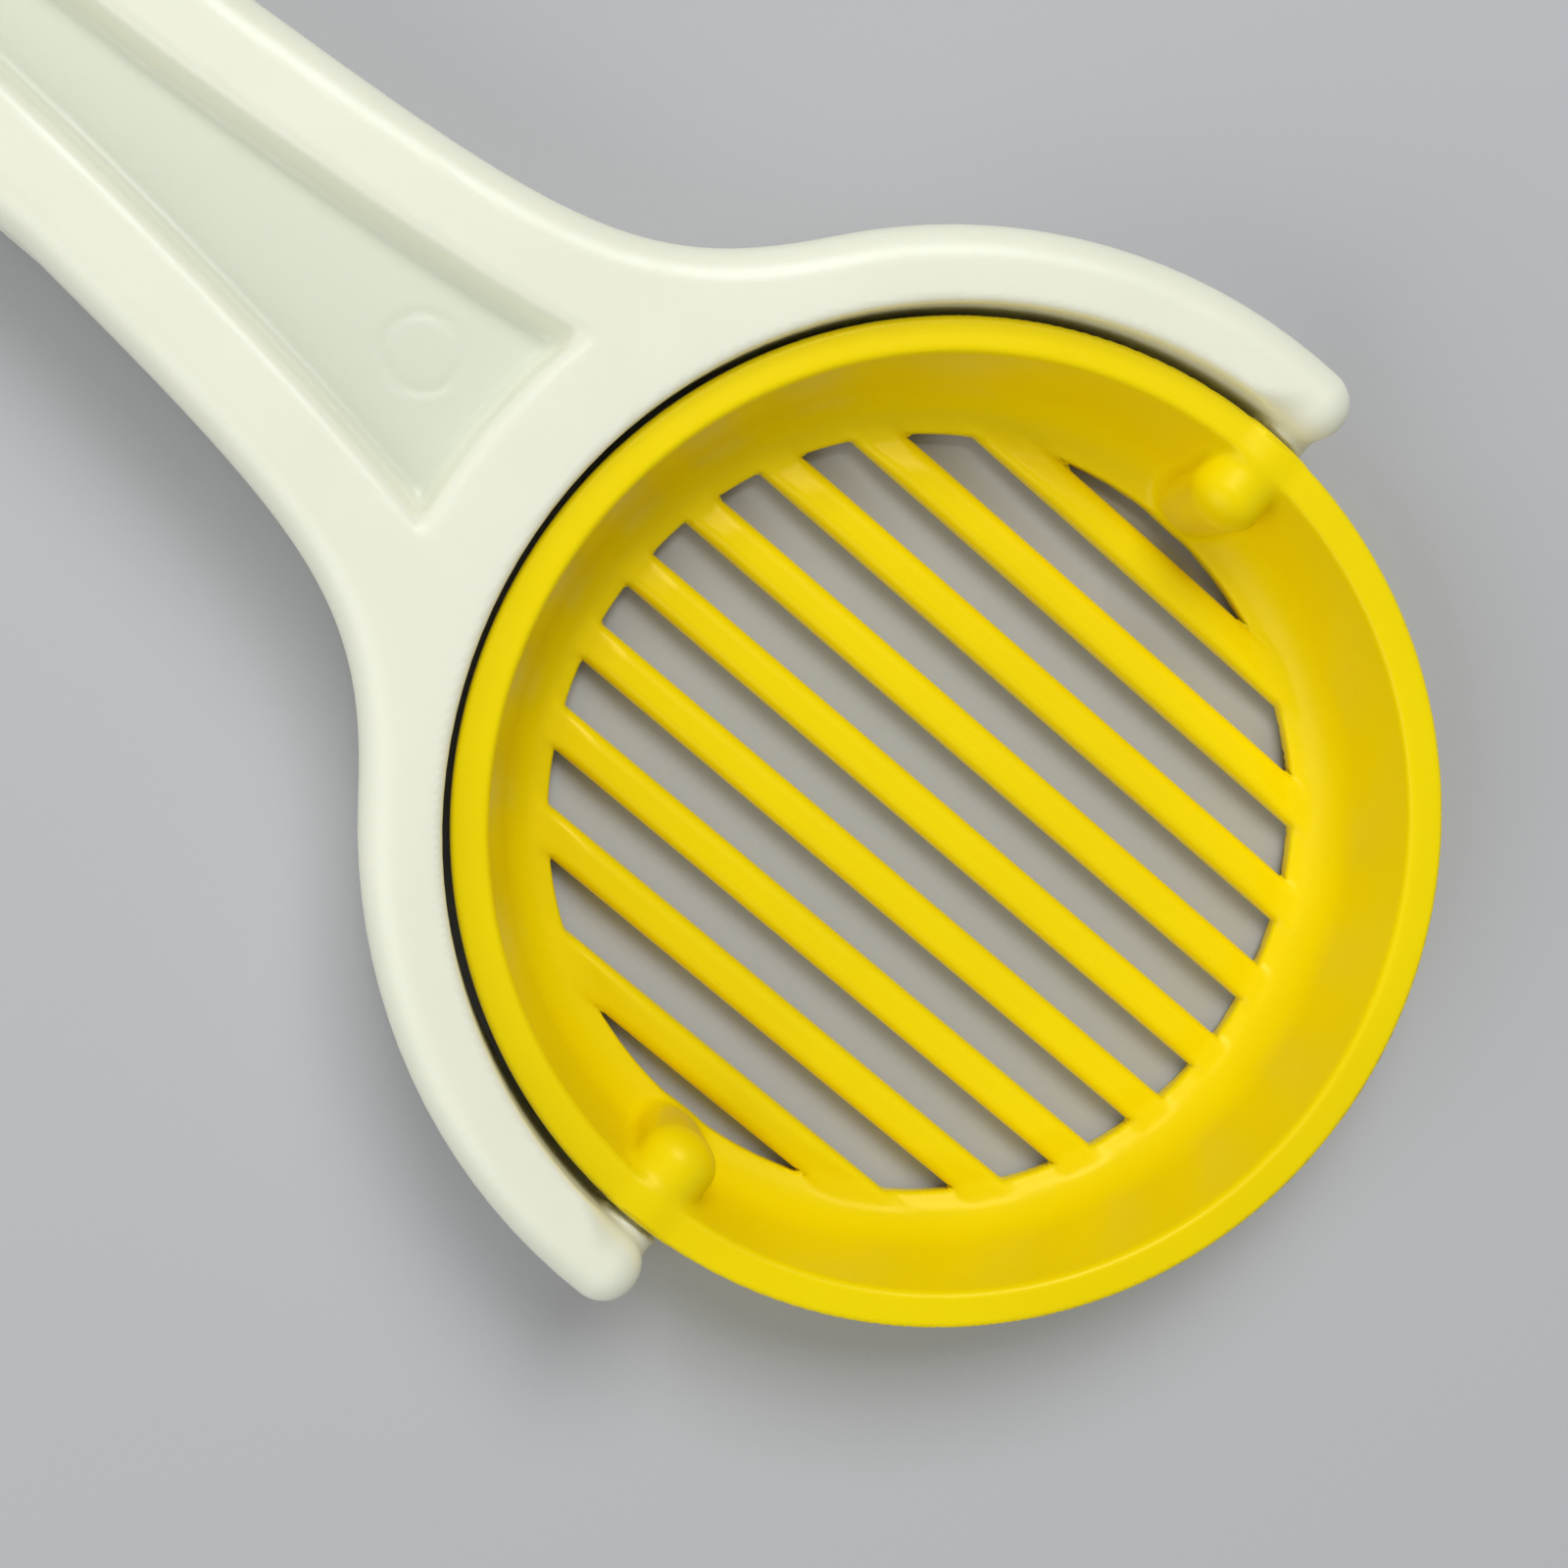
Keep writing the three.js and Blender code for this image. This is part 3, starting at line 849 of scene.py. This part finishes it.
@dataclass
class ForkArm(Arm):
    """The arm that holds the cradle between two round-ended prongs."""

    inside_shift: float = 0.4  # how far the inside's centre lies towards the tips
    dome_start: float = 4.5  # a prong's inner edge turns soft between these, short of its tip
    dome_end: float = 0.5
    shoulder: float = 2.25
    shoulder_gap: float = 0.3  # between a shoulder and the cradle
    shoulder_edge: float = 0.15
    stub: float = 1.65
    stub_inner: float = 29.8
    stub_edge: float = 0.3
    root: float = 1.0  # how far the shoulders and stub pins run into the prong
    root_fillet: float = 0.5

    def head(self) -> Points:
        """Returns the fork: outside, one prong's tip, inside, the other tip, and outside again."""
        tip = (HEAD_R - FORK_R) / 2
        tip_y = FORK_R + tip
        outside = arc((REACH, 0), HEAD_R, 90, self.flare_angle)
        lean = math.degrees(math.atan(self.inside_shift / FORK_R))
        inside_r = math.hypot(FORK_R, self.inside_shift)
        inside = arc((REACH + self.inside_shift, 0), inside_r, 270 - lean, 90 + lean)
        first = [(x, -y) for x, y in outside[::-1]]
        lower_tip = arc((REACH, -tip_y), tip, -90, 90, 8.0)
        upper_tip = arc((REACH, tip_y), tip, -90, 90, 8.0)
        return first + lower_tip + inside + upper_tip + outside

    def edge_at(self, x: Array, y: Array) -> Array:
        """Returns the rounding: crisp inside the fork, and full at its tips, which are domes."""
        soft = super().edge_at(x, y)
        radius = np.hypot(x - REACH, y)
        middle = (HEAD_R + FORK_R) / 2
        to_tip = smooth_step(x, REACH - self.dome_start, REACH - self.dome_end)
        inner = self.crisp_edge + (self.outer_edge - self.crisp_edge) * to_tip
        is_inner = (radius < middle) & (x > REACH - HEAD_R)
        return np.where(is_inner, inner, soft)

    def with_head(self, body: Array, x: Array, y: Array, z: Array) -> Array:
        """Adds the shoulders and the stub pins that the cradle swivels on."""
        radial = np.hypot(x - REACH, z - PIVOT_Z)
        out = np.abs(y)
        inner = CRADLE_R + self.shoulder_gap
        outer = FORK_R + self.root
        shoulder = slab(radial - self.shoulder, out, inner, outer, self.shoulder_edge)
        stub = slab(radial - self.stub, out, self.stub_inner, outer, self.stub_edge)
        return smooth_min(body, np.minimum(shoulder, stub), self.root_fillet)

    def own_knuckles(self, y: Array) -> tuple[Array, Array]:
        """Returns the distances to the two outer knuckles and to the room between them."""
        out = np.abs(y)
        own = np.maximum(self.knuckle_split + self.play - out, out - self.hinge_half)
        return own, out - (self.knuckle_split + self.play)


@dataclass
class HoopArm(Arm):
    """The arm whose head is a full hoop that holds the wire frame."""

    hole: float = 31.0
    hole_edge: float = 0.6
    seat: float = 34.9
    seat_z: float = 7.3
    seat_edge: float = 0.4
    keyway_half: float = 2.35
    keyway_inner: float = 30.0
    keyway_outer: float = 36.6
    catch_z: float = 11.5
    catch_tip: float = 34.15  # the catches' inner radius
    catch_root: float = 36.0
    catch_half: float = 3.0  # half the length of a catch
    catch_thin: float = 0.3  # half its height where its wedge starts
    wedge_start: float = 34.1
    wedge_slope: float = 0.3
    catch_fillet: float = 0.3

    def with_head(self, body: Array, x: Array, y: Array, z: Array) -> Array:
        """Bores the hoop, sinks the frame's seat and keyway, and adds the snap catches."""
        across = x - REACH
        radius = np.hypot(across, y)
        body = smooth_max(body, self.hole - radius, self.hole_edge)
        above = self.seat_z - z
        sunk = np.maximum(radius - self.seat, above)
        ends = np.maximum(-self.keyway_outer - across, across + self.keyway_inner)
        keyway = np.maximum(np.maximum(np.abs(y) - self.keyway_half, ends), above)
        body = smooth_max(body, -np.minimum(sunk, keyway), self.seat_edge)
        # The catches stand on the two diagonals.
        beside = np.minimum(np.abs(across - y), np.abs(across + y)) / math.sqrt(2)
        wedge = self.catch_thin + self.wedge_slope * (radius - self.wedge_start)
        catch = np.maximum(np.abs(z - self.catch_z) - wedge, self.catch_tip - radius)
        catch = np.maximum(np.maximum(catch, radius - self.catch_root), beside - self.catch_half)
        return smooth_min(body, catch, self.catch_fillet)

    def own_knuckles(self, y: Array) -> tuple[Array, Array]:
        """Returns the distances to the middle knuckle and to the room on either side of it."""
        out = np.abs(y)
        own = out - (self.knuckle_split - self.play)
        return own, self.knuckle_split - self.play - out


@dataclass
class EggCradle(Moulding):
    """The slotted dish that the egg lies in, with two bosses that it swivels on.

    The walls are corners of the dish's section: radius, height and size of the rounding.
    """

    outer_wall: tuple[tuple[float, float, float], ...] = (
        (30.4, FOOT_Z, 1.2),
        (32.0, 2.2, 2.0),
        (33.2, 6.5, 2.0),
        (CRADLE_R, RIM_Z - 2.0, 1.0),
    )
    rim: tuple[tuple[float, float, float], ...] = ((CRADLE_R, RIM_Z, 0.5), (31.7, RIM_Z, 0.45))
    inner_wall: tuple[tuple[float, float, float], ...] = ((30.1, 4.4, 1.4), (28.6, 2.45, 1.5))
    slot_circle: float = 27.1
    slot_edges: tuple[float, float] = (0.3, 0.25)  # rounding of its lower and its upper edge
    floor_z: float = 1.9
    bar_half: float = 1.415
    bar_bottom: float = 0.7
    bar_edge: float = 0.25
    bar_crown: float = 0.47  # rounding of a bar's top, as a share of its height
    bar_overlap: float = 0.9  # how far a bar runs past the slot circle
    bar_end: float = 1.2  # rounding of its end
    crown_z: float = 2.7
    end_drop: float = 0.55  # how far a bar's crown dips between the two radii below
    dip_start: float = 3.0  # inside the slot circle
    dip_end: float = 0.6  # outside the slot circle
    crease: float = 0.15  # fillet between bars and floor underneath
    melt: float = 0.8  # what it gains above the floor, from a little below it to a little above
    melt_below: float = 0.2
    melt_above: float = 0.5
    boss: float = 2.8
    boss_inner: float = 27.2
    boss_foot: float = 1.4
    boss_fillet: float = 1.0
    nose: float = 0.8  # how full the bosses' domed ends are against a half ball
    skin: float = 0.6  # what the dish's wall keeps outside a boss
    socket: float = 1.95
    socket_inner: float = 29.5
    socket_edge: float = 0.25
    step: float = 0.4

    def __post_init__(self) -> None:
        """Draws the dish's section, from the slot circle's lower edge round to its upper one."""
        lower = (self.slot_circle, FOOT_Z, self.slot_edges[0])
        upper = (self.slot_circle, self.floor_z, self.slot_edges[1])
        corners = [lower, *self.outer_wall, *self.rim, *self.inner_wall, upper]
        self.section = Outline(rounded(corners))

    def field(self, x: Array, y: Array, z: Array) -> Array:
        """Returns the distance to the cradle's surface."""
        across = x - REACH
        radius = np.hypot(across, y)
        dish = self.section.distance(*np.broadcast_arrays(radius + 0 * z, z))
        body = self.with_bars(dish, radius, y, z)
        return self.with_bosses(body, across, y, z)

    def with_bars(self, body: Array, radius: Array, y: Array, z: Array) -> Array:
        """Adds round-topped bars whose ends melt into the sloping floor."""
        past = radius - self.slot_circle
        bottom = self.bar_bottom
        top = self.crown_z - self.end_drop * smooth_step(past, -self.dip_start, self.dip_end)
        edge = np.where(z > (top + bottom) / 2, self.bar_crown * (top - bottom), self.bar_edge)
        bar = slab(nearest_row(y, SLOT_PITCH, 0.0) - self.bar_half, z, bottom, top, edge)
        bar = smooth_max(bar, past - self.bar_overlap, self.bar_end)
        above = smooth_step(z, self.floor_z - self.melt_below, self.floor_z + self.melt_above)
        return smooth_min(body, bar, self.crease + self.melt * above)

    def with_bosses(self, body: Array, across: Array, y: Array, z: Array) -> Array:
        """Adds the domed bosses on their columns and bores their sockets."""
        out = np.abs(y)
        nose_at = self.boss_inner + self.nose * self.boss
        nose = np.maximum(nose_at - out, 0.0) / self.nose
        above = np.maximum(z - PIVOT_Z, 0.0)
        boss = np.sqrt(across**2 + nose**2 + above**2) - self.boss
        radii, heights, _ = zip(*self.outer_wall)
        wall = np.interp(z, heights, radii)
        boss = np.maximum(np.maximum(boss, out - wall + self.skin), self.boss_foot - z)
        body = smooth_min(body, boss, self.boss_fillet)
        bore = np.hypot(across, z - PIVOT_Z) - self.socket
        return smooth_max(body, -np.maximum(bore, self.socket_inner - out), self.socket_edge)


@dataclass
class WireFrame(Moulding):
    """The snap-in ring whose toothed crown holds the wires above the hoop."""

    crown_in: float = 23.6
    crown_out: float = 25.6
    flange: float = 34.5
    flange_low: float = 7.6
    flange_high: float = 10.4
    edge_z: float = 21.8
    tip_z: float = 28.2
    tooth_half: float = 1.2
    tooth_root: float = 0.8
    tooth_edge: float = 0.4
    foot: float = 1.2  # bevel where the crown stands on the flange
    key_half: float = 2.0
    key_middle: float = 33.1
    key_reach: float = 3.1  # half the length of the key tab
    key_edge: float = 0.3
    wire_z: float = 27.65
    bead_ring: float = 24.9
    notch_half: float = 0.5  # room round a wire
    pocket_half: float = 0.66  # room round a bead
    notch_edge: float = 0.12
    step: float = 0.33

    def __post_init__(self) -> None:
        """Draws the ring's section: (radius, height, rounding) of each corner."""
        self.section = Outline(
            rounded(
                [
                    (self.crown_in, self.flange_low, 0.5),
                    (self.flange, self.flange_low, 0.5),
                    (self.flange, self.flange_high, 0.4),
                    (self.crown_out + self.foot, self.flange_high, self.foot),
                    (self.crown_out, self.flange_high + self.foot, self.foot),
                    (self.crown_out, self.tip_z, 0.5),
                    (self.crown_in, self.tip_z, 0.5),
                ]
            )
        )

    def field(self, x: Array, y: Array, z: Array) -> Array:
        """Returns the distance to the ring's surface."""
        across = x - REACH
        radius = np.hypot(across, y)
        ring = self.section.distance(*np.broadcast_arrays(radius + 0 * z, z))
        row = nearest_row(y, SLOT_PITCH, SLOT_PITCH / 2)
        tooth = smooth_min(row - self.tooth_half, z - self.edge_z, self.tooth_root)
        body = smooth_max(ring, tooth, self.tooth_edge)
        tab = np.maximum(np.abs(y) - self.key_half, np.abs(across + self.key_middle) - self.key_reach)
        key = slab(tab, z, self.flange_low, self.flange_high, self.key_edge)
        body = smooth_min(body, key, self.key_edge)
        notch = np.maximum(row - self.notch_half, self.wire_z - self.notch_half - z)
        bead = np.sqrt(np.maximum(self.bead_ring**2 - y**2, 0.0))
        pocket = np.maximum(row - self.pocket_half, self.wire_z - self.pocket_half - z)
        pocket = np.maximum(pocket, bead - self.pocket_half - np.abs(across))
        return smooth_max(body, -np.minimum(notch, pocket), self.notch_edge)


@dataclass
class TurnedPart:
    """A steel part turned about one axis, from a profile of (along, radius) in millimetres."""

    node: str
    body: str
    slot: Slot
    placement: Placement
    centre: tuple[float, float, float]
    along_y: bool
    sides: int = 40
    sharp_angle: float = 40.0  # an edge that turns by more than this, in degrees, shows as one

    def profile(self) -> Points:
        """Returns the profile from one end of the axis to the other."""
        raise NotImplementedError

    def build(self) -> bpy.types.Object:
        """Turns the profile, closes its two ends on the axis, and puts it in the frame."""
        outline = self.profile()
        rings = outline[1:-1]
        turn = np.linspace(0, 2 * math.pi, self.sides, endpoint=False)
        around = np.stack([np.cos(turn), np.sin(turn)], axis=1)
        points = [(outline[0][0], 0.0, 0.0)]
        for along, radius in rings:
            points += [(along, radius * c, radius * s) for c, s in around]
        points.append((outline[-1][0], 0.0, 0.0))
        faces = self._faces(len(rings))
        local = np.array(points)
        if self.along_y:
            local = local[:, [1, 0, 2]]
            faces = [face[::-1] for face in faces]
        placed = self.placement.to_row(local + np.array(self.centre))
        piece = make_object("turned_" + self.node, placed, faces, self.slot)
        piece.data.set_sharp_from_angle(angle=math.radians(self.sharp_angle))
        settle(piece, self.node, self.body)
        return piece

    def _faces(self, ring_count: int) -> list[list[int]]:
        """Returns the fans at both ends and the quads between the rings, facing out."""
        n = self.sides
        last = 1 + ring_count * n
        faces = []
        for i in range(n):
            j = (i + 1) % n
            faces.append([0, 1 + j, 1 + i])
            for ring in range(ring_count - 1):
                a, b = 1 + ring * n, 1 + (ring + 1) * n
                faces.append([a + i, a + j, b + j, b + i])
            faces.append([last, last - n + i, last - n + j])
        return faces


def dome(at: float, radius: float, height: float, rising: bool) -> Points:
    """Draws a dome's profile, a quarter of an ellipse.

    Args:
        at: where its top lies on the axis.
        radius: how wide it is at its foot.
        height: how far its foot lies from its top.
        rising: whether the profile starts at the top, and not at the foot.

    Returns:
        The points, as (along, radius).
    """
    steps = 8
    angles = np.linspace(0, math.pi / 2, steps + 1)
    way = 1 if rising else -1
    points = [(at + way * height * (1 - math.cos(t)), radius * math.sin(t)) for t in angles]
    return points if rising else points[::-1]


@dataclass
class CuttingWire(TurnedPart):
    """A taut wire with a bead pressed onto each end."""

    half_length: float = 20.0  # from the middle of the wire to the middle of a bead
    bead: float = 0.5
    neck: tuple[Point, ...] = ((-0.15, 0.45), (0.05, 0.33), (0.35, 0.25))  # (along, radius)
    sides: int = 16

    def profile(self) -> Points:
        """Returns a bead, the neck that eases it into the wire, and the same mirrored."""
        end = self.half_length + self.bead
        neck_at = self.half_length - self.bead
        first = dome(-end, self.bead, self.bead, True)
        first += [(along - neck_at, radius) for along, radius in self.neck]
        return first + [(-along, radius) for along, radius in first[::-1]]


@dataclass
class HingePin(TurnedPart):
    """The hinge's pin: a low domed head, a shank and a chamfered end."""

    head_top: float = 11.8
    head_r: float = 2.8
    head_rise: float = 0.9
    face: float = 10.3  # where the head's underside lies, just outside the knuckles
    bevel: float = 0.15
    shank: float = 1.5
    chamfer_start: float = 11.0
    end: float = 11.4
    end_r: float = 1.15

    def profile(self) -> Points:
        """Returns the head, its bevelled underside, the shank and its chamfer."""
        head = dome(-self.head_top, self.head_r, self.head_rise, True)
        bevel = [(-self.face - self.bevel, self.head_r), (-self.face, self.head_r - self.bevel)]
        shank = [(-self.face, self.shank), (self.chamfer_start, self.shank)]
        return head + bevel + shank + [(self.end, self.end_r), (self.end, 0.0)]


@dataclass
class PinCap(TurnedPart):
    """The push-on cap: a shallow dome with a rolled rim and a blind bore for the pin."""

    top: float = 12.5
    crown_r: float = 2.82
    crown_rise: float = 1.2
    bore_end: float = 11.7
    bore_r: float = 1.8
    rim: tuple[Point, ...] = (  # section of the rolled rim, as (along, radius)
        (10.45, 1.8),
        (10.3, 1.95),
        (10.3, 2.8),
        (10.45, 2.97),
        (10.75, 3.0),
        (11.05, 2.97),
        (11.2, 2.82),
    )

    def profile(self) -> Points:
        """Returns the way from the bottom of the bore, out round the rim, to the dome's top."""
        bore = [(self.bore_end, 0.0), (self.bore_end, self.bore_r)]
        return bore + list(self.rim) + dome(self.top, self.crown_r, self.crown_rise, False)


# ---- The studio ----
@dataclass(frozen=True)
class Softbox:
    """A square softbox that faces the cradle: its place and side in metres, its power in watts."""

    name: str
    place: tuple[float, float, float]
    side: float
    power: float

    def build(self) -> None:
        """Hangs the softbox."""
        light = bpy.data.lights.new(self.name, "AREA")
        light.size = self.side
        light.energy = self.power
        hung = bpy.data.objects.new(self.name, light)
        hung.location = self.place
        aim = PIVOT - Vector(self.place)
        hung.rotation_euler = aim.to_track_quat("-Z", "Y").to_euler()
        bpy.context.scene.collection.objects.link(hung)


@dataclass(frozen=True)
class Studio:
    """Pale paper, two softboxes, a bright room, and the camera that looks down on the cradle."""

    paper_half: float = 8.0
    key: Softbox = Softbox("key_softbox", (-0.12, 0.40, 0.70), 0.45, 4.5)
    fill: Softbox = Softbox("fill_softbox", (-0.10, -0.62, 0.50), 0.70, 2.8)
    room_colour: str = "#f4f5f7"
    room_strength: float = 0.32
    nearest: float = 0.005  # the camera sees nothing nearer than this, in metres
    lens: float = 57.29
    camera_offset: tuple[float, float, float] = (-0.03854, -0.01441, 0.16566)
    camera_axes: tuple[tuple[float, float, float], ...] = (
        (0.7529, 0.6382, 0.1607),
        (-0.6372, 0.7680, -0.0646),
        (-0.1646, -0.0538, 0.9849),
    )

    def build(self) -> None:
        """Makes the floor, lights, world and camera."""
        self._floor()
        self.key.build()
        self.fill.build()
        world = bpy.data.worlds.new("studio_world")
        world.use_nodes = True
        background = world.node_tree.nodes["Background"]
        background.inputs["Color"].default_value = linear_colour(self.room_colour)
        background.inputs["Strength"].default_value = self.room_strength
        bpy.context.scene.world = world
        bpy.context.scene.view_settings.view_transform = "Standard"
        self._camera()

    def _floor(self) -> None:
        """Lays the paper under the tongs."""
        half = self.paper_half
        corners = [(-half, -half, 0.0), (half, -half, 0.0), (half, half, 0.0), (-half, half, 0.0)]
        mesh = bpy.data.meshes.new("floor")
        mesh.from_pydata(corners, [], [(0, 1, 2, 3)])
        mesh.materials.append(PaperFloor("pale_paper", "#b9bbbe").material())
        floor = bpy.data.objects.new("floor", mesh)
        bpy.context.scene.collection.objects.link(floor)

    def _camera(self) -> None:
        """Sets the camera over the cradle."""
        data = bpy.data.cameras.new("camera")
        data.lens = self.lens
        data.clip_start = self.nearest
        camera = bpy.data.objects.new("camera", data)
        turn = Matrix(self.camera_axes).transposed().to_4x4()
        camera.matrix_world = Matrix.Translation(PIVOT + Vector(self.camera_offset)) @ turn
        bpy.context.scene.collection.objects.link(camera)
        bpy.context.scene.camera = camera


def build_wires() -> None:
    """Strings the wires, one over each gap between two bars."""
    for number in range(1, WIRES + 1):
        node = f"cutting_wire_{number}"
        low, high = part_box(node)
        middle = (low + high) / 2
        centre = (REACH, -middle.y / MM, middle.z / MM)
        half = (high.x - low.x) / 2 / MM - CuttingWire.bead
        CuttingWire(node, "wire_arm", Slot.WIRE, WIRE_ARM, centre, False, half_length=half).build()


def main() -> None:
    """Builds every piece and the studio."""
    logging.basicConfig(level=logging.INFO, format="%(name)s: %(message)s")
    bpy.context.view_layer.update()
    for finish in FINISHES.values():
        finish.material()
    ForkArm("cradle_handle", "cradle_arm", Slot.IVORY, CRADLE_ARM).build()
    EggCradle("egg_cradle", "cradle", Slot.YELLOW, CRADLE_ARM).build()
    HoopArm("wire_handle", "wire_arm", Slot.IVORY, WIRE_ARM).build()
    WireFrame("wire_frame", "wire_arm", Slot.YELLOW, WIRE_ARM).build()
    build_wires()
    hinge = (0.0, 0.0, HINGE_Z)
    HingePin("hinge_pin", "cradle_arm", Slot.HINGE, CRADLE_ARM, hinge, True).build()
    PinCap("pin_cap", "cradle_arm", Slot.HINGE, CRADLE_ARM, hinge, True).build()
    Studio().build()


if __name__ == "__main__":
    main()
